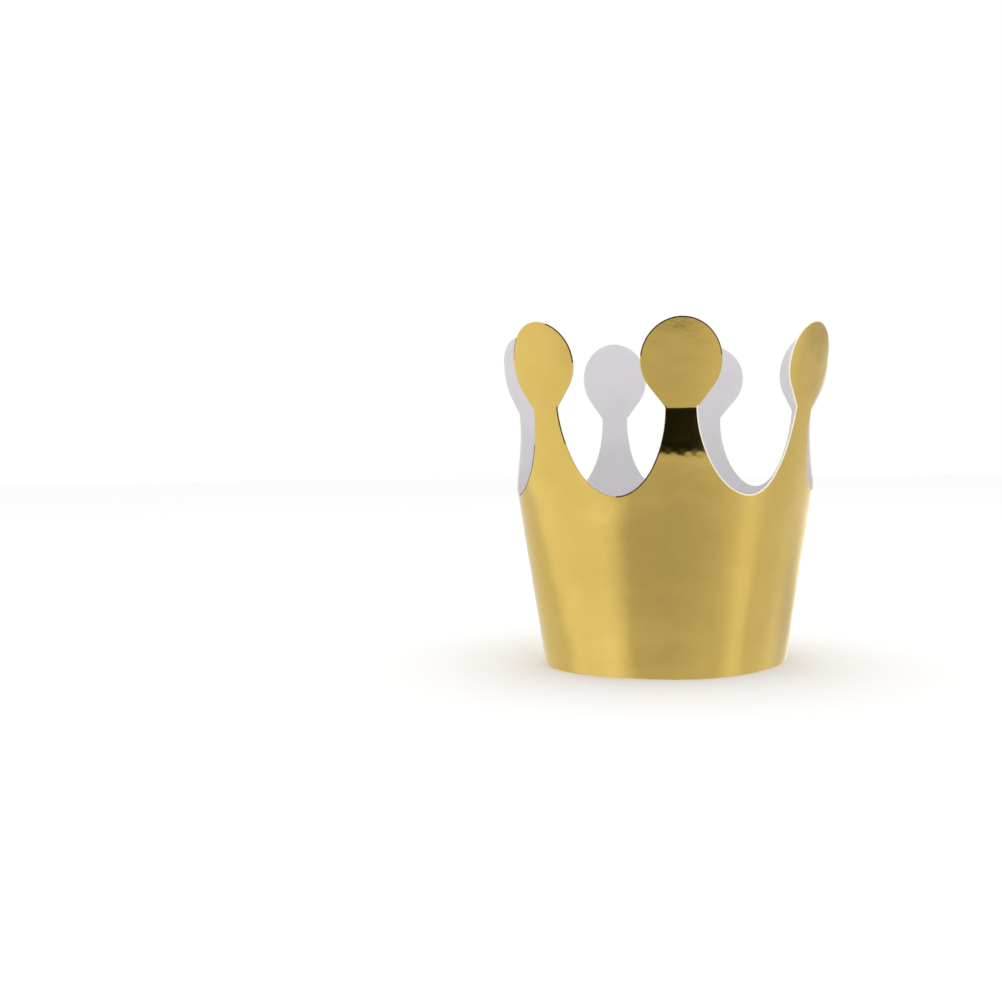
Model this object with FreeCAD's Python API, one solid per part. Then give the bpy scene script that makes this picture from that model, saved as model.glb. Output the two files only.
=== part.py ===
import FreeCAD, Part
import math
import os

V = FreeCAD.Vector
V2 = FreeCAD.Base.Vector2d

# A small party crown, cut from one sheet of foil-faced card, rolled round and closed by a glued lap
# at the back. The crown stands on its rim at z = 0, the front prong looks along -Y and the flare
# opens upwards. Millimetres and degrees; heights are measured up the slope of the card.

# The sheet
CARD = 0.4             # thickness of the card
RIM_LENGTH = 283.0     # once round the rim, along the middle of the card
LAP = 12.0             # width of the glued lap, half of it each side of the joint
GLUE = 0.05            # film of glue between the two layers of the lap

# The cut edge of the sheet, the same round every prong
SCALLOP_FLOOR = 70.0   # lowest point of each scallop
NECK_WIDTH = 12.0      # narrowest part of a prong
DISC_HEIGHT = 118.6    # centre of the disc on top of a prong
DISC_DIAMETER = 30.6
SHOULDER_DROP = 1.7    # the disc's straight shoulders meet the neck this far below the disc
SHOULDER_ROUND = 1.2   # radius in the corner between neck and shoulder

# The roll: degrees by which the rim turns on the two halves of each step from prong to prong,
# starting at the front prong and going to the right. Card never rolls quite evenly.
BENDS = ((38, 16), (12, 47), (16, 40), (30, 12), (11, 22), (47, 33), (23, 13))
FRONT_TURN = 4.2       # the front prong looks this much to the right
LEAN = 6.75            # mean flare of the wall from upright
LEAN_FRONT = 4.2       # the front leans out this much more, the back this much less
LEAN_SIDES = 1.2       # the sides lean out this much more, front and back this much less

PRONGS = len(BENDS)
STEP = RIM_LENGTH / PRONGS
HALF_STEP = STEP / 2
JOINT = RIM_LENGTH / 2                 # the lap is centred on the scallop at the back
SHEET_START = JOINT - RIM_LENGTH - LAP / 2
SHEET_END = JOINT + LAP / 2
SHEET_TOP = DISC_HEIGHT + DISC_DIAMETER / 2 + 1
NECK_HEIGHT = DISC_HEIGHT - DISC_DIAMETER / 2 - SHOULDER_DROP
LAYER = CARD + GLUE

# How many points carry each smooth stretch
PLAN_STEPS = 4 * 2 * PRONGS
SCALLOP_POINTS = 12
CORNER_POINTS = 3
DISC_POINTS = 24


def half_turns():
    """Degrees turned on each half step, made to close the ring."""
    turns = [turn for pair in BENDS for turn in pair]
    full = sum(turns)
    return [360.0 * turn / full for turn in turns]


TURNS = half_turns()


def bend_rate(index):
    """Degrees per millimetre at the middle of a half step, counted round and round."""
    return TURNS[index % len(TURNS)] / HALF_STEP


def turned_from_start(s):
    """Degrees turned between the middle of half step -1 and the place s along the rim."""
    total = 0.0
    index = math.floor(s / HALF_STEP - 0.5)
    for k in range(-1, index):
        total += (bend_rate(k) + bend_rate(k + 1)) / 2 * HALF_STEP
    for k in range(index, -1):
        total -= (bend_rate(k) + bend_rate(k + 1)) / 2 * HALF_STEP
    along = s - (index + 0.5) * HALF_STEP
    change = (bend_rate(index + 1) - bend_rate(index)) / HALF_STEP
    return total + bend_rate(index) * along + change * along * along / 2


def facing(s):
    """Direction in which the wall faces at s, in radians from -Y towards +X."""
    return math.radians(FRONT_TURN + turned_from_start(s) - turned_from_start(0.0))


def walk_rim():
    """Points of the closed rim curve at fine equal steps, with the roll's small misfit spread out."""
    count = 40 * 2 * PRONGS
    length = RIM_LENGTH / count
    points = [V(0, 0, 0)]
    for i in range(count):
        angle = facing((i + 0.5) * length)
        points.append(points[-1] + V(math.cos(angle), math.sin(angle), 0) * length)
    misfit = points[-1] - points[0]
    points = [p - misfit * (i / count) for i, p in enumerate(points)]
    low = V(min(p.x for p in points), min(p.y for p in points), 0)
    high = V(max(p.x for p in points), max(p.y for p in points), 0)
    middle = (low + high) / 2
    return [p - middle for p in points]


RIM = walk_rim()


def rim_point(s):
    """Place on the closed rim curve, read between its fine points."""
    place = (s % RIM_LENGTH) / RIM_LENGTH * (len(RIM) - 1)
    index = min(int(place), len(RIM) - 2)
    return RIM[index] + (RIM[index + 1] - RIM[index]) * (place - index)


def lean(angle):
    """Flare of the wall, in radians, where it faces in the given direction."""
    front = LEAN_FRONT * math.cos(angle)
    sides = LEAN_SIDES * math.cos(2 * angle)
    return math.radians(LEAN + front - sides)


def card_point(s, height, side):
    """Point of the sheet; side is +0.5 on the foil and -0.5 on the white back."""
    angle = facing(s)
    slope = lean(angle)
    outward = V(math.sin(angle), -math.cos(angle), 0)
    # the sheet winds out by one layer in a turn, so that its end lies on its start
    winding = LAYER * s / RIM_LENGTH
    shift = (winding + side * CARD) / math.cos(slope) + height * math.sin(slope)
    return rim_point(s) + outward * shift + V(0, 0, height * math.cos(slope))


def card_surface(side):
    """Ruled surface of one side of the sheet, from the rim to the top of the discs."""
    count = round(PLAN_STEPS * (SHEET_END - SHEET_START) / RIM_LENGTH)
    stations = [SHEET_START + (SHEET_END - SHEET_START) * i / count for i in range(count + 1)]
    edges = []
    for height in (0.0, SHEET_TOP):
        curve = Part.BSplineCurve()
        curve.interpolate(Points=[card_point(s, height, side) for s in stations], Parameters=stations)
        edges.append(curve)
    surface = Part.BSplineSurface()
    poles = [list(pair) for pair in zip(edges[0].getPoles(), edges[1].getPoles())]
    surface.buildFromPolesMultsKnots(
        poles, edges[0].getMultiplicities(), (2, 2), edges[0].getKnots(), (0.0, SHEET_TOP), False, False,
        edges[0].Degree, 1,
    )
    return surface


def place_on_sheet(prong, across, height):
    """Sheet coordinates of a point of a prong, given how far it is from the prong's middle line."""
    middle = prong * STEP
    flare = math.sin(lean(facing(middle)))
    s = middle + across
    for _ in range(8):
        s = middle + across - height * flare * (facing(s) - facing(middle))
    return V2(s, height)


def shoulder_angle():
    """Angle below level, seen from the disc's centre, at which its straight shoulders touch it."""
    drop = DISC_HEIGHT - NECK_HEIGHT
    far = math.hypot(NECK_WIDTH / 2, drop)
    return math.atan2(drop, NECK_WIDTH / 2) - math.acos(DISC_DIAMETER / 2 / far)


SHOULDER_TILT = shoulder_angle()       # also the shoulder's slope away from upright
SCALLOP_TOP = NECK_HEIGHT - SHOULDER_ROUND * math.tan(SHOULDER_TILT / 2)


def scallop_point(prong, side, turn):
    """Point of the quarter ellipse beside a prong; turn runs from 90 degrees on the floor to 0."""
    middle = prong * STEP
    fan = math.sin(lean(facing(middle))) * abs(facing(middle + side * HALF_STEP) - facing(middle))
    height = SCALLOP_TOP - (SCALLOP_TOP - SCALLOP_FLOOR) * math.sin(turn)
    reach = HALF_STEP + height * fan
    across = reach - (reach - NECK_WIDTH / 2) * math.cos(turn)
    return place_on_sheet(prong, side * across, height)


def turn_at(prong, side, s):
    """Turn at which the quarter ellipse beside a prong reaches the place s along the rim."""
    low, high = 0.0, math.pi / 2
    for _ in range(50):
        turn = (low + high) / 2
        if side * (scallop_point(prong, side, turn).x - s) > 0:
            high = turn
        else:
            low = turn
    return turn


def scallop(prong, side, last_turn=0.0):
    """Edge from a scallop's floor up towards the neck; side is -1 left of the prong, +1 right."""
    first_turn = math.pi / 2
    turns = [first_turn + (last_turn - first_turn) * i / SCALLOP_POINTS for i in range(SCALLOP_POINTS + 1)]
    points = [scallop_point(prong, side, turn) for turn in turns]
    points[0] = V2((prong + side / 2) * STEP, SCALLOP_FLOOR)
    return points


def neck_corner(prong, side):
    """Round corner between the neck's upright edge and the shoulder."""
    middle = NECK_WIDTH / 2 + SHOULDER_ROUND
    points = []
    for i in range(CORNER_POINTS + 1):
        turn = SHOULDER_TILT * i / CORNER_POINTS
        across = middle - SHOULDER_ROUND * math.cos(turn)
        points.append(place_on_sheet(prong, side * across, SCALLOP_TOP + SHOULDER_ROUND * math.sin(turn)))
    return points


def disc_edge(prong, turn):
    """Point of a disc's edge; turn is measured up from level on the right."""
    radius = DISC_DIAMETER / 2
    return place_on_sheet(prong, radius * math.cos(turn), DISC_HEIGHT + radius * math.sin(turn))


def disc(prong):
    """Round top of a prong, from its left shoulder over the top to the right one."""
    sweep = math.pi + 2 * SHOULDER_TILT
    return [disc_edge(prong, math.pi + SHOULDER_TILT - sweep * i / DISC_POINTS) for i in range(DISC_POINTS + 1)]


def smooth(points):
    """Smooth curve in sheet coordinates through the points."""
    curve = Part.Geom2d.BSplineCurve2d()
    curve.interpolate(points)
    return curve


def line(start, end):
    """Straight line in sheet coordinates."""
    return Part.Geom2d.Line2dSegment(start, end)


def die_cut_edge():
    """The cut edge above the rim in order, from the foot of the sheet's start to that of its end."""
    last = PRONGS // 2
    first = last - PRONGS + 1
    start_edge = scallop(first - 1, 1, turn_at(first - 1, 1, SHEET_START))
    end_edge = scallop(last + 1, -1, turn_at(last + 1, -1, SHEET_END))
    edges = [line(V2(SHEET_START, 0), start_edge[-1]), smooth(start_edge[::-1])]
    for prong in range(first, last + 1):
        left = neck_corner(prong, -1)
        right = neck_corner(prong, 1)
        top = disc(prong)
        edges += [smooth(scallop(prong, -1)), smooth(left)]
        edges += [smooth([left[-1], top[0]]), smooth(top), smooth([top[-1], right[-1]])]
        edges += [smooth(right[::-1]), smooth(scallop(prong, 1)[::-1])]
    return edges + [smooth(end_edge), line(end_edge[-1], V2(SHEET_END, 0))]


def flat_rim(outer, inner):
    """Level face between the two edges of the rim."""
    ends = [Part.makeLine(outer.valueAt(at), inner.valueAt(at)) for at in (outer.FirstParameter, outer.LastParameter)]
    return Part.Face(Part.Wire(Part.__sortEdges__([outer, inner] + ends)))


def make_sheet():
    """The rolled sheet as one solid: its two sides, the cut edge between them and the level rim."""
    cut = die_cut_edge()
    rim = line(V2(SHEET_END, 0), V2(SHEET_START, 0))
    faces = []
    cut_edges = []
    rim_edges = []
    for side in (0.5, -0.5):
        surface = card_surface(side)
        cut_edges.append([stretch.toShape(surface) for stretch in cut])
        rim_edges.append(rim.toShape(surface))
        faces.append(Part.Face(surface, Part.Wire(cut_edges[-1] + rim_edges[-1:])))
    faces += [Part.makeRuledSurface(*pair) for pair in zip(*cut_edges)]
    faces.append(flat_rim(*rim_edges))
    shell = Part.makeShell(faces)
    shell.sewShape()
    solid = Part.makeSolid(shell)
    solid.fix(1e-4, 1e-4, 1e-4)
    return solid


def stand_on_middle(shape):
    """The shape moved level, so that the origin is below the middle of its outline."""
    box = shape.optimalBoundingBox()
    return shape.translated(V(-box.Center.x, -box.Center.y, 0))


os.makedirs("parts", exist_ok=True)
crown = stand_on_middle(make_sheet())
crown.exportStep("parts/crown_sheet.step")
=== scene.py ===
import math
import bpy
import numpy as np
from mathutils import Matrix, Vector


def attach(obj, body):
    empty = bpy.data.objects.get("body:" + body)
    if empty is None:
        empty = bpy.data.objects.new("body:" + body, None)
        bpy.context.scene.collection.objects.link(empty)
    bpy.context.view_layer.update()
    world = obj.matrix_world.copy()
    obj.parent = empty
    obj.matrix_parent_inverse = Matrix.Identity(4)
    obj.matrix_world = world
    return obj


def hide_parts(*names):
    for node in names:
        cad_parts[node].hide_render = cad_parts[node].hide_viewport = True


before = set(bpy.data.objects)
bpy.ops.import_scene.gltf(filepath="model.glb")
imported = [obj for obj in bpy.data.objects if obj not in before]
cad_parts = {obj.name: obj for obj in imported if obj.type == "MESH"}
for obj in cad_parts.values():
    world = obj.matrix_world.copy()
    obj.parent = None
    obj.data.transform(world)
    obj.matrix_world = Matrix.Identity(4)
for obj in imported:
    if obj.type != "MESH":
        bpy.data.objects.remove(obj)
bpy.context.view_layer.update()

MM = 0.001

# The sheet, in millimetres and degrees, the same as the solid's
CARD = 0.4
RIM_LENGTH = 283.0
LAP = 12.0
GLUE = 0.05
SCALLOP_FLOOR = 70.0
NECK_WIDTH = 12.0
DISC_HEIGHT = 118.6
DISC_RADIUS = 15.3
SHOULDER_DROP = 1.7
SHOULDER_ROUND = 1.2
BENDS = ((38, 16), (12, 47), (16, 40), (30, 12), (11, 22), (47, 33), (23, 13))
FRONT_TURN = 4.2
LEAN = 6.75
LEAN_FRONT = 4.2
LEAN_SIDES = 1.2

PRONGS = len(BENDS)
STEP = RIM_LENGTH / PRONGS
HALF_STEP = STEP / 2
SHEET_END = (RIM_LENGTH + LAP) / 2
NECK_HEIGHT = DISC_HEIGHT - DISC_RADIUS - SHOULDER_DROP

# Rings along the cut edge: the die presses the foil's rim down and rounds it over
RINGS = (0.0, 0.04, 0.09, 0.16, 0.32, 0.5, 0.85)
FOIL_ROUND = 0.2
BACK_ROUND = 0.07
RIM_BAND = 0.5


# The rolled sheet

S_TABLE = np.linspace(-SHEET_END - 3, SHEET_END + 3, 24001)


def facing_table():
    """Direction in which the wall faces along the rim, in radians from -Y towards +X."""
    turns = np.array(BENDS, float).ravel()
    rates = np.radians(turns * 360 / turns.sum() / HALF_STEP)
    index = np.arange(-PRONGS - 2, PRONGS + 2)
    rate = np.interp(S_TABLE, (index + 0.5) * HALF_STEP, rates[index % len(rates)])
    step = S_TABLE[1] - S_TABLE[0]
    angle = np.concatenate([[0.0], np.cumsum((rate[1:] + rate[:-1]) / 2 * step)])
    return angle - np.interp(0.0, S_TABLE, angle) + math.radians(FRONT_TURN)


FACING = facing_table()


def facing(s):
    return np.interp(s, S_TABLE, FACING)


def rim_table():
    """Closed plan of the rim, its small misfit spread out along it."""
    step = S_TABLE[1] - S_TABLE[0]
    middle = (FACING[1:] + FACING[:-1]) / 2
    x = np.concatenate([[0.0], np.cumsum(np.cos(middle) * step)])
    y = np.concatenate([[0.0], np.cumsum(np.sin(middle) * step)])
    turn = S_TABLE / RIM_LENGTH
    for line in (x, y):
        line -= np.interp(0.0, S_TABLE, line)
        misfit = np.interp(RIM_LENGTH / 2, S_TABLE, line) - np.interp(-RIM_LENGTH / 2, S_TABLE, line)
        line -= misfit * turn
    return x, y


RIM_X, RIM_Y = rim_table()


def lean(angle):
    return np.radians(LEAN + LEAN_FRONT * np.cos(angle) - LEAN_SIDES * np.cos(2 * angle))


def card_point(s, height, lift):
    """Points of the sheet, lifted off its middle along its normal."""
    angle = facing(s)
    slope = lean(angle)
    shift = ((CARD + GLUE) * s / RIM_LENGTH + lift) / np.cos(slope) + height * np.sin(slope)
    x = np.interp(s, S_TABLE, RIM_X) + np.sin(angle) * shift
    y = np.interp(s, S_TABLE, RIM_Y) - np.cos(angle) * shift
    z = height * np.cos(slope)
    return np.column_stack([x, y, z])


# The cut edge, in each prong's own flat coordinates: across and up

def fan(prong):
    middle = prong * STEP
    return [
        math.sin(lean(facing(middle))) * abs(facing(middle + side * HALF_STEP) - facing(middle))
        for side in (-1, 1)
    ]


def half_outline(prong, side):
    """One half of a prong's cut edge, from the scallop's floor to the top of the disc."""
    drop = DISC_HEIGHT - NECK_HEIGHT
    half = NECK_WIDTH / 2
    tilt = math.atan2(drop, half) - math.acos(DISC_RADIUS / math.hypot(half, drop))
    top = NECK_HEIGHT - SHOULDER_ROUND * math.tan(tilt / 2)
    reach_top = fan(prong)[0 if side < 0 else 1]
    points = []
    for turn in np.linspace(math.pi / 2, 0, 46):
        height = top - (top - SCALLOP_FLOOR) * math.sin(turn)
        reach = HALF_STEP + height * reach_top
        points.append((reach - (reach - half) * math.cos(turn), height))
    for turn in np.linspace(0, tilt, 6)[1:]:
        reach = half + SHOULDER_ROUND - SHOULDER_ROUND * math.cos(turn)
        points.append((reach, top + SHOULDER_ROUND * math.sin(turn)))
    start = np.array(points[-1])
    end = np.array([DISC_RADIUS * math.cos(tilt), DISC_HEIGHT - DISC_RADIUS * math.sin(tilt)])
    points += [tuple(start + (end - start) * t) for t in np.linspace(0, 1, 6)[1:-1]]
    for turn in np.linspace(-tilt, math.pi / 2, 44):
        points.append((DISC_RADIUS * math.cos(turn), DISC_HEIGHT + DISC_RADIUS * math.sin(turn)))
    return np.array(points)


def inset(points, distance):
    """The half outline moved into the card."""
    ahead = np.gradient(points, axis=0)
    ahead[0] = (-1, 0)
    ahead[-1] = (-1, 0)
    ahead /= np.linalg.norm(ahead, axis=1)[:, None]
    into = np.column_stack([-ahead[:, 1], ahead[:, 0]])
    moved = points + into * distance
    moved[0] = (points[0][0], points[0][1] - distance)
    moved[-1] = (0.0, points[-1][1] - distance)
    return moved


def on_sheet(prong, across, height):
    """Sheet coordinate s of points given in a prong's flat coordinates."""
    middle = prong * STEP
    flare = math.sin(lean(facing(middle)))
    s = middle + across
    for _ in range(10):
        s = middle + across - height * flare * (facing(s) - facing(middle))
    return s


class Net:
    """The sheet's points and faces in sheet coordinates, each point with its distance from the cut edge."""

    def __init__(self):
        self.rows = []
        self.faces = []

    def add(self, s, height, edge):
        start = len(self.rows)
        edge = np.broadcast_to(edge, np.shape(s))
        self.rows.extend(zip(s, np.broadcast_to(height, np.shape(s)), edge))
        return np.arange(start, start + len(s))

    def strip(self, low, high):
        for i in range(len(low) - 1):
            self.faces.append((low[i], low[i + 1], high[i + 1], high[i]))


def add_prong(net, prong, across_count=30):
    """A prong above the scallops' floor, with rings along its cut edge."""
    sides = {side: half_outline(prong, side) for side in (-1, 1)}
    count = len(sides[1])
    rings = []
    for distance in RINGS:
        left = inset(sides[-1], distance)
        right = inset(sides[1], distance)
        across = np.concatenate([-left[:, 0], right[-2::-1, 0]])
        height = np.concatenate([left[:, 1], right[-2::-1, 1]])
        s = on_sheet(prong, across, height)
        s[0] = (prong - 0.5) * STEP
        s[-1] = (prong + 0.5) * STEP
        rings.append((net.add(s, height, distance), s, height))
    for outer, inner in zip(rings, rings[1:]):
        net.strip(inner[0], outer[0])
    ids, s, height = rings[-1]
    part = np.linspace(0, 1, across_count + 1)[1:-1]
    lower = None
    for i in range(count - 1):
        j = len(s) - 1 - i
        inner = net.add(s[i] + (s[j] - s[i]) * part, height[i] + (height[j] - height[i]) * part, 9.0)
        row = np.concatenate([[ids[i]], inner, [ids[j]]])
        if lower is not None:
            net.strip(lower, row)
        lower = row
    for a, b in zip(lower, lower[1:]):
        net.faces.append((a, b, ids[count - 1]))


def body_heights():
    top = SCALLOP_FLOOR - RINGS[-1]
    return list(RINGS) + list(np.linspace(RINGS[-1], top, 52)[1:])


def add_body(net, s, edge):
    """The band below the scallops over the given places along the rim."""
    rows = []
    for height in body_heights():
        rows.append(net.add(s, height, np.minimum(edge, height if height <= RINGS[-1] else 9.0)))
    for low, high in zip(rows, rows[1:]):
        net.strip(low, high)


def add_lap(net, end):
    """The lap's tongue beyond the last prong's step at one end of the sheet."""
    prong = end * (PRONGS // 2 + 1)
    outline = half_outline(prong, -end)
    across = -end * outline[:, 0]
    line_s = on_sheet(prong, across, outline[:, 1])
    order = np.argsort(line_s[:20])
    seam = end * PRONGS / 2 * STEP
    inner = list(np.linspace(seam, end * (SHEET_END - RINGS[-1]), 6))
    s = np.array(inner + [end * (SHEET_END - distance) for distance in RINGS[-2::-1]])
    edge = np.array([9.0] * 5 + list(RINGS[::-1]))
    if end < 0:
        s, edge = s[::-1], edge[::-1]
    add_body(net, s, edge)
    top = np.interp(s, line_s[:20][order], outline[:20, 1][order])
    top[np.isclose(s, seam)] = SCALLOP_FLOOR
    floor = SCALLOP_FLOOR - RINGS[-1]
    rows = [net.add(s, floor, edge)]
    crest = top - RINGS[-1]
    for part in (0.5, 1.0):
        level = floor + (crest - floor) * part
        rows.append(net.add(s, level, np.minimum(edge, RINGS[-1] if part == 1.0 else 9.0)))
    for distance in RINGS[-2::-1]:
        rows.append(net.add(s, top - distance, np.minimum(edge, distance)))
    for low, high in zip(rows, rows[1:]):
        net.strip(low, high)


def make_net():
    """One net for both sides of the sheet, with doubled points joined and empty faces dropped."""
    net = Net()
    last = PRONGS // 2
    for prong in range(-last, last + 1):
        add_prong(net, prong)
        s = (prong - 0.5) * STEP + STEP * np.linspace(0, 1, 31)
        add_body(net, s, 9.0)
    for end in (-1, 1):
        add_lap(net, end)
    rows = np.array(net.rows)
    keys = np.round(rows[:, :2] * 2e4).astype(np.int64)
    _, first, where = np.unique(keys, axis=0, return_index=True, return_inverse=True)
    where = where.ravel()
    faces = []
    for face in net.faces:
        ring = []
        for i in face:
            j = int(where[i])
            if j not in ring:
                ring.append(j)
        if len(ring) > 2:
            faces.append(tuple(ring))
    return rows[first], faces


def smooth_step(low, high, value):
    t = np.clip((value - low) / (high - low), 0, 1)
    return t * t * (3 - 2 * t)


def noise(s, height, seed, size):
    """Soft random dents a few sizes across, as a sum of waves."""
    dice = np.random.default_rng(seed)
    total = np.zeros_like(s)
    for _ in range(9):
        angle = dice.uniform(0, 2 * math.pi)
        wave = dice.uniform(0.7, 1.5) * 2 * math.pi / size
        turn = dice.uniform(0, 2 * math.pi)
        total += np.sin(wave * (s * math.cos(angle) + height * math.sin(angle)) + turn)
    return total / 3


# How each prong was pulled by hand, counted from the front one to the right: how much it stands
# taller, leans out per millimetre up, and leans to the side at its top

PULLS = {
    0: (0.7, -0.007, -0.3),
    1: (0.9, 0.002, 1.6),
    2: (0.4, -0.013, -1.6),
    3: (-1.8, -0.002, 0.1),
    -3: (-1.7, -0.06, 0.2),
    -2: (0.6, -0.03, 0.5),
    -1: (1.5, -0.04, -1.5),
}


def pull(s, height):
    """Places on the sheet, and how far they stand off its even roll, after the prongs were bent."""
    prong = np.round(s / STEP).astype(int)
    above = np.clip(height - 76, 0, None)
    out = 0.05 * noise(s, height, 5, 26) + 0.01 * noise(s, height, 6, 7)
    moved_s, moved_h = s.copy(), height.copy()
    for k, (rise, tilt, side) in PULLS.items():
        here = prong == k
        moved_h += np.where(here, rise * smooth_step(72, 98, height), 0)
        moved_s += np.where(here, side * above / 60, 0)
        out += np.where(here, tilt * above, 0)
    # the front prong's neck was bent upright below its disc: a soft bend with crinkles at its foot,
    # and a sharp crease at its top
    climb = np.linspace(70, 140, 1401)
    slope = -0.15 * smooth_step(80.5, 88.5, climb) * (climb < NECK_HEIGHT - 0.3)
    bent = np.interp(height, climb, np.cumsum(slope) * (climb[1] - climb[0]))
    across = s / 7.0
    crinkled = smooth_step(79, 84, height) * (1 - smooth_step(88, 93, height)) * np.exp(-across ** 2)
    ripple = 0.03 * noise(s * 0.35, height, 9, 1.3) * crinkled
    out += np.where(prong == 0, bent + ripple, 0)
    return moved_s, moved_h, out


def rounded(edge, radius):
    """How far a pressed rim lies below the card's face, by distance from the cut."""
    left = np.clip(radius - edge, 0, radius)
    return radius - np.sqrt(radius ** 2 - left ** 2)


def rim_kinds(s, height, edge, faces):
    """Material of each foil face: 0 foil, 2 bare core beside the cut, 3 foil pressed over the cut, its dark
    colour a painted reflection.
    """
    kinds = []
    for face in faces:
        points = list(face)
        if edge[points].max() > RIM_BAND + 1e-6:
            kinds.append(0)
            continue
        at, up = s[points].mean(), height[points].mean()
        prong = round(at / STEP)
        across = at - prong * STEP
        kind = 0
        # kind 3 marks the stretches of rim where a dark reflection is painted into the foil's colour
        if up > SCALLOP_FLOOR - 2 and abs(at) < 3.4 * STEP:
            right = across > 0
            disc = up > NECK_HEIGHT + 0.5
            turn = math.degrees(math.atan2(up - DISC_HEIGHT, across))
            if prong == 0:
                kind = (3 if 8 < turn < 172 else 0) if disc else (2 if right else 3)
            elif prong == 1:
                kind = (0 if right and turn < 60 else 2) if disc else (0 if right else 2)
            elif prong == -1:
                if disc:
                    kind = 3 if -5 < turn < 75 or 125 < turn < 165 else 0
                else:
                    kind = 3 if right == (up > 88) else 0
            else:
                kind = 3 if disc and 20 < turn < 160 else 0
        kinds.append(kind)
    return kinds


def make_crown():
    rows, faces = make_net()
    s, height, edge = rows.T
    at_s, at_h, out = pull(s, height)
    foil = card_point(at_s, at_h, CARD / 2 - rounded(edge, FOIL_ROUND) + out)
    back = card_point(at_s, at_h, -CARD / 2 + rounded(edge, BACK_ROUND) + out)
    even = np.vstack([card_point(s, height, CARD / 2), card_point(s, height, -CARD / 2)])
    middle = (even.max(0) + even.min(0)) / 2
    middle[2] = 0
    count = len(rows)
    used = {}
    for face in faces:
        for a, b in zip(face, face[1:] + face[:1]):
            used.setdefault((min(a, b), max(a, b)), []).append((a, b))
    borders = [ring[0] for ring in used.values() if len(ring) == 1]
    wall = [(b, a, a + count, b + count) for a, b in borders]
    # the walls get their own points, so that the cut stays crisp between the two faces
    own = {}
    points = [*(foil - middle), *(back - middle)]
    crisp = []
    for face in wall:
        ring = []
        for i in face:
            if i not in own:
                own[i] = len(points)
                points.append(points[i])
            ring.append(own[i])
        crisp.append(tuple(ring))
    all_faces = faces + [tuple(i + count for i in face[::-1]) for face in faces] + crisp
    mesh = bpy.data.meshes.new("crown_paper")
    mesh.from_pydata(np.array(points) * MM, [], all_faces)
    kinds = rim_kinds(s, height, edge, faces) + [1] * len(faces) + [2] * len(crisp)
    mesh.polygons.foreach_set("material_index", kinds)
    mesh.polygons.foreach_set("use_smooth", [True] * len(all_faces))
    mesh.update()
    crown = bpy.data.objects.new("crown_paper", mesh)
    bpy.context.scene.collection.objects.link(crown)
    return crown


# Materials

class Nodes:
    """Short calls for building a material."""

    def __init__(self, name):
        self.material = bpy.data.materials.new(name)
        self.material.use_nodes = True
        self.tree = self.material.node_tree
        self.shader = self.tree.nodes["Principled BSDF"]

    def add(self, kind, settings=None, **inputs):
        node = self.tree.nodes.new(kind)
        for name, value in (settings or {}).items():
            setattr(node, name, value)
        for name, value in inputs.items():
            self.put(node.inputs[name.replace("_", " ")], value)
        return node

    def put(self, socket, value):
        if isinstance(value, bpy.types.NodeSocket):
            self.tree.links.new(value, socket)
        else:
            socket.default_value = value

    def ramp(self, value, *stops):
        node = self.add("ShaderNodeValToRGB", Fac=value)
        while len(node.color_ramp.elements) < len(stops):
            node.color_ramp.elements.new(0.5)
        for element, (at, color) in zip(node.color_ramp.elements, stops):
            element.position = at
            element.color = (*color, 1.0)
        return node.outputs["Color"]

    def math(self, operation, a, b):
        node = self.add("ShaderNodeMath", {"operation": operation})
        self.put(node.inputs[0], a)
        self.put(node.inputs[1], b)
        return node.outputs[0]

    def bump(self, height, distance, strength, normal=None):
        node = self.add("ShaderNodeBump", Strength=strength, Distance=distance, Height=height)
        if normal is not None:
            self.put(node.inputs["Normal"], normal)
        return node.outputs["Normal"]


def linear(red, green, blue):
    """Written colour, 0 to 255, as linear light."""
    return tuple(
        ((v / 255 + 0.055) / 1.055) ** 2.4 if v > 10 else v / 255 / 12.92
        for v in (red, green, blue)
    )


def foil_material():
    m = Nodes("gold_foil")
    place = m.add("ShaderNodeTexCoord").outputs["Object"]
    cloud = m.add("ShaderNodeTexNoise", Vector=place, Scale=60.0, Detail=3.0, Roughness=0.6).outputs["Fac"]
    peel = m.add("ShaderNodeTexNoise", Vector=place, Scale=750.0, Detail=2.0, Roughness=0.5).outputs["Fac"]
    fine = m.add("ShaderNodeTexNoise", Vector=place, Scale=2600.0, Detail=2.0, Roughness=0.6).outputs["Fac"]
    gold = m.ramp(cloud, (0.3, linear(211, 181, 97)), (0.7, linear(217, 187, 103)))
    m.put(m.shader.inputs["Base Color"], gold)
    m.put(m.shader.inputs["Metallic"], 1.0)
    rough = m.math("MULTIPLY_ADD", cloud, 0.05)
    rough.node.inputs[2].default_value = 0.11
    m.put(m.shader.inputs["Roughness"], rough)
    waves = m.bump(peel, 0.00006, 0.35)
    grain = m.bump(fine, 0.00001, 0.3, waves)
    m.put(m.shader.inputs["Normal"], grain)
    return m.material


def rim_painted_dark_reflection_material():
    # foil pressed over the cut: its dark colour is a painted reflection of the rolled rim, mottled by noise
    m = Nodes("rim_foil_painted_dark_reflection")
    place = m.add("ShaderNodeTexCoord").outputs["Object"]
    painted_reflection_mottle = m.add("ShaderNodeTexNoise", Vector=place, Scale=400.0, Detail=3.0, Roughness=0.6).outputs["Fac"]
    m.put(m.shader.inputs["Base Color"], m.ramp(painted_reflection_mottle, (0.35, linear(38, 26, 11)), (0.7, linear(122, 92, 46))))
    m.put(m.shader.inputs["Metallic"], 1.0)
    m.put(m.shader.inputs["Roughness"], 0.35)
    m.put(m.shader.inputs["Normal"], m.bump(painted_reflection_mottle, 0.00005, 0.4))
    return m.material


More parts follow.
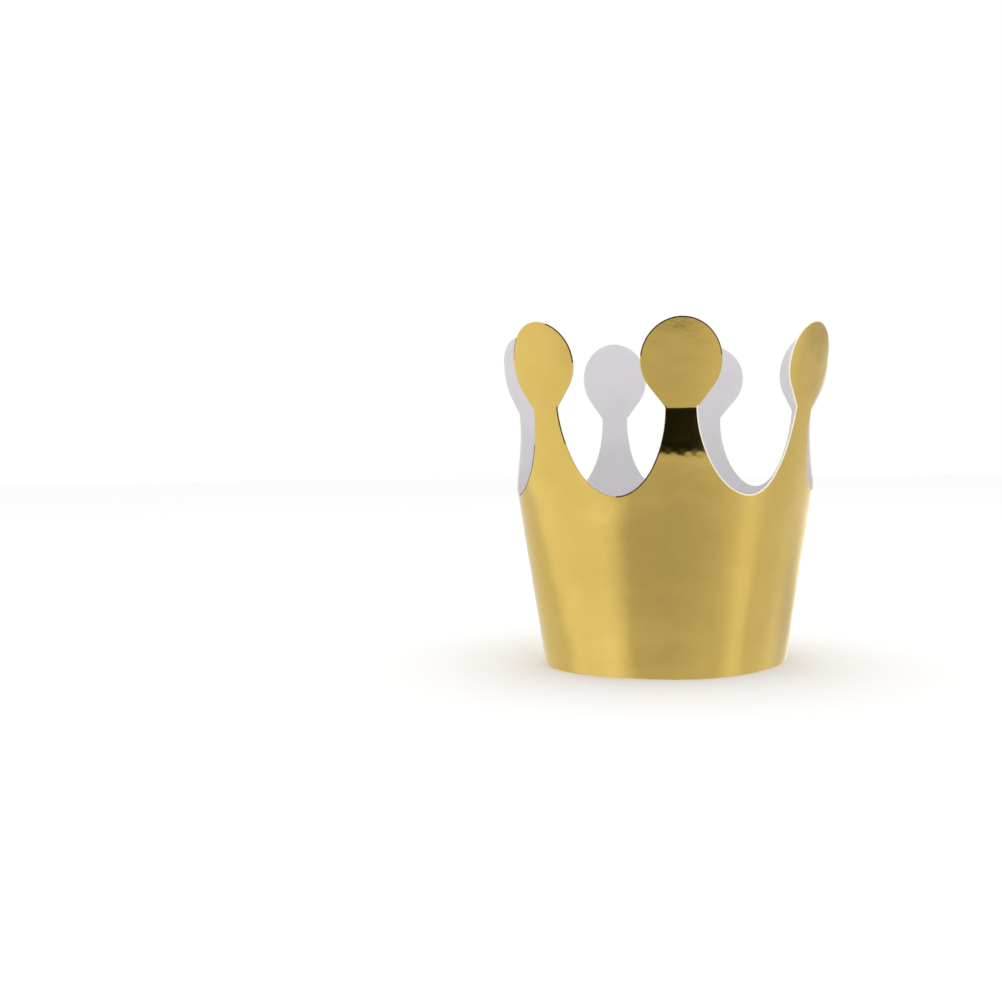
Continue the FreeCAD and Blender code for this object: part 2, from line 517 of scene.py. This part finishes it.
def back_material():
    m = Nodes("white_back")
    place = m.add("ShaderNodeTexCoord").outputs["Object"]
    fibre = m.add("ShaderNodeTexNoise", Vector=place, Scale=1400.0, Detail=4.0, Roughness=0.7).outputs["Fac"]
    cloud = m.add("ShaderNodeTexNoise", Vector=place, Scale=45.0, Detail=2.0, Roughness=0.5).outputs["Fac"]
    color = m.ramp(cloud, (0.3, linear(218, 216, 219)), (0.7, linear(224, 222, 224)))
    m.put(m.shader.inputs["Base Color"], color)
    m.put(m.shader.inputs["Roughness"], 0.75)
    m.put(m.shader.inputs["Specular IOR Level"], 0.3)
    m.put(m.shader.inputs["Normal"], m.bump(fibre, 0.00004, 0.3))
    return m.material


def cut_material():
    m = Nodes("cut_card")
    place = m.add("ShaderNodeTexCoord").outputs["Object"]
    fibre = m.add("ShaderNodeTexNoise", Vector=place, Scale=2500.0, Detail=3.0, Roughness=0.7).outputs["Fac"]
    color = m.ramp(fibre, (0.3, linear(234, 224, 198)), (0.7, linear(250, 244, 228)))
    m.put(m.shader.inputs["Base Color"], color)
    m.put(m.shader.inputs["Roughness"], 0.9)
    m.put(m.shader.inputs["Specular IOR Level"], 0.2)
    m.put(m.shader.inputs["Normal"], m.bump(fibre, 0.00004, 0.5))
    return m.material


# Studio

def plain_object(name, corners, material):
    mesh = bpy.data.meshes.new(name)
    mesh.from_pydata([tuple(c) for c in corners], [], [(0, 1, 2, 3)])
    thing = bpy.data.objects.new(name, mesh)
    thing.data.materials.append(material)
    bpy.context.scene.collection.objects.link(thing)
    return thing


def plain_material(name, color):
    m = Nodes(name)
    m.put(m.shader.inputs["Base Color"], (*color, 1.0))
    m.put(m.shader.inputs["Roughness"], 1.0)
    m.put(m.shader.inputs["Specular IOR Level"], 0.0)
    return m.material


def softbox(name, place, target, size, radiance):
    """Square area lamp of an even radiance, unseen by the camera."""
    lamp = bpy.data.lights.new(name, "AREA")
    lamp.shape = "RECTANGLE"
    lamp.size, lamp.size_y = size
    lamp.energy = radiance * math.pi * size[0] * size[1]
    thing = bpy.data.objects.new(name, lamp)
    thing.location = place
    thing.rotation_mode = "QUATERNION"
    thing.rotation_quaternion = (Vector(place) - Vector(target)).to_track_quat("Z", "Y")
    thing.visible_camera = False
    bpy.context.scene.collection.objects.link(thing)
    return thing


# What the foil mirrors: level of light round the tent, by direction from the front towards the right
TENT = (
    (-180, 0.95), (-150, 0.95), (-120, 0.9), (-104, 0.86), (-98, 1.16), (-70, 1.08), (-42, 1.04), (-32, 0.92),
    (-22, 0.6), (0, 0.56), (22, 0.6), (44, 0.68), (62, 0.84), (78, 1.06), (88, 1.0), (98, 0.82), (112, 0.86),
    (126, 1.0), (142, 1.3), (156, 1.8), (170, 1.3), (180, 0.95),
)


def tent_level(azimuth, elevation):
    """Level of light that comes from a direction, in degrees."""
    # the edge of the dimmer part on the left runs slanting, and the right one a little
    right_slant = np.where(azimuth > 90, elevation + 16, 0.0)
    slant = np.where(azimuth < -50, -2.0 * (elevation + 16), right_slant)
    slant = np.clip(slant, -30, 26) * (np.abs(azimuth) < 165)
    level = np.interp(azimuth - slant, *zip(*TENT))
    middle = 1 - smooth_step(35, 60, np.abs(azimuth))
    level = level * (1 + middle * np.clip(0.034 * (-24 - elevation), 0, 0.3))
    level = level * (1 + middle * 0.3 * smooth_step(-22, -15, elevation))
    # dimmer low on the right, and where the right disc looks
    low_right = smooth_step(118, 136, azimuth) * (1 - smooth_step(-14, -8, elevation))
    disc_right = smooth_step(100, 112, azimuth) * (1 - smooth_step(128, 140, azimuth))
    disc_right = disc_right * smooth_step(-4.5, 2, elevation)
    level = level * (1 - 0.33 * low_right) * (1 - 0.3 * disc_right)
    # the gap in the tent that the camera looks through
    width = np.interp(elevation, (-9.5, -6), (10, 30))
    gap = 1 - smooth_step(-4, 4, np.abs(azimuth) - width)
    gap = gap * smooth_step(-9.5, -6, elevation)
    gap = gap * (1 - smooth_step(34, 42, elevation))
    return level * (1 - gap) + 0.012 * gap


def make_tent():
    """White tent round the table, seen only by the foil as a mirror, with a dark gap for the camera."""
    across, up = 180, 120
    azimuth = np.linspace(-180, 180, across + 1)[:-1]
    elevation = np.linspace(-89, 89, up + 1)
    az, el = np.meshgrid(azimuth, elevation)
    a, e = np.radians(az.ravel()), np.radians(el.ravel())
    points = 1.5 * np.column_stack([np.sin(a) * np.cos(e), -np.cos(a) * np.cos(e), np.sin(e)])
    faces = []
    for j in range(up):
        for i in range(across):
            k = (i + 1) % across
            faces.append((j * across + i, j * across + k, (j + 1) * across + k, (j + 1) * across + i))
    mesh = bpy.data.meshes.new("tent")
    mesh.from_pydata(points, [], faces)
    level = mesh.attributes.new("level", "FLOAT", "POINT")
    level.data.foreach_set("value", tent_level(az.ravel(), el.ravel()).astype(np.float32))
    tent = bpy.data.objects.new("tent", mesh)
    tent.location = (0, 0, 0.06)
    bpy.context.scene.collection.objects.link(tent)
    material = bpy.data.materials.new("tent_light")
    material.use_nodes = True
    tree = material.node_tree
    tree.nodes.clear()
    glow = tree.nodes.new("ShaderNodeEmission")
    read = tree.nodes.new("ShaderNodeAttribute")
    read.attribute_name = "level"
    out = tree.nodes.new("ShaderNodeOutputMaterial")
    tree.links.new(read.outputs["Fac"], glow.inputs["Strength"])
    tree.links.new(glow.outputs[0], out.inputs["Surface"])
    mesh.materials.append(material)
    tent.visible_camera = False
    tent.visible_diffuse = False
    tent.visible_shadow = False
    tent.visible_transmission = False
    tent.visible_volume_scatter = False


def make_stage():
    reach = 4.0
    corners = [(-reach, -reach, 0), (reach, -reach, 0), (reach, reach, 0), (-reach, reach, 0)]
    floor = plain_object("floor", corners, plain_material("pale_floor", (0.97, 0.97, 0.97)))
    floor.visible_glossy = False
    world = bpy.data.worlds.new("studio")
    world.use_nodes = True
    world.node_tree.nodes["Background"].inputs["Color"].default_value = (1.0, 1.0, 1.0, 1.0)
    world.node_tree.nodes["Background"].inputs["Strength"].default_value = 1.0
    bpy.context.scene.world = world
    make_tent()
    top = softbox("top_box", (0.3, -0.3, 1.3), (0, 0, 0), (1.4, 1.4), 0.5)
    top.visible_glossy = False


def make_camera():
    """The photograph's view, as fitted to the crown's outline."""
    data = bpy.data.cameras.new("camera")
    data.sensor_width = 36.0
    data.lens = CAMERA_LENS
    camera = bpy.data.objects.new("camera", data)
    pan, pitch, roll = CAMERA_PAN, CAMERA_PITCH, CAMERA_ROLL
    ahead = Vector((math.sin(pan) * math.cos(pitch), math.cos(pan) * math.cos(pitch), math.sin(pitch)))
    right = Vector((math.cos(pan), -math.sin(pan), 0))
    up = right.cross(ahead)
    side = right * math.cos(roll) + up * math.sin(roll)
    top = up * math.cos(roll) - right * math.sin(roll)
    camera.matrix_world = Matrix((
        (side.x, top.x, -ahead.x, CAMERA_PLACE[0]),
        (side.y, top.y, -ahead.y, CAMERA_PLACE[1]),
        (side.z, top.z, -ahead.z, CAMERA_PLACE[2]),
        (0, 0, 0, 1),
    ))
    bpy.context.scene.collection.objects.link(camera)
    bpy.context.scene.camera = camera


CAMERA_PLACE = (-0.00941, -0.47644, 0.08391)
CAMERA_PAN = -0.1184
CAMERA_PITCH = -0.0374
CAMERA_ROLL = -0.0128
CAMERA_LENS = 42.56

crown = make_crown()
for material in (foil_material(), back_material(), cut_material(), rim_painted_dark_reflection_material()):
    crown.data.materials.append(material)
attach(crown, "root")
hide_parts("crown_sheet")
make_stage()
make_camera()
bpy.context.scene.view_settings.view_transform = "Standard"
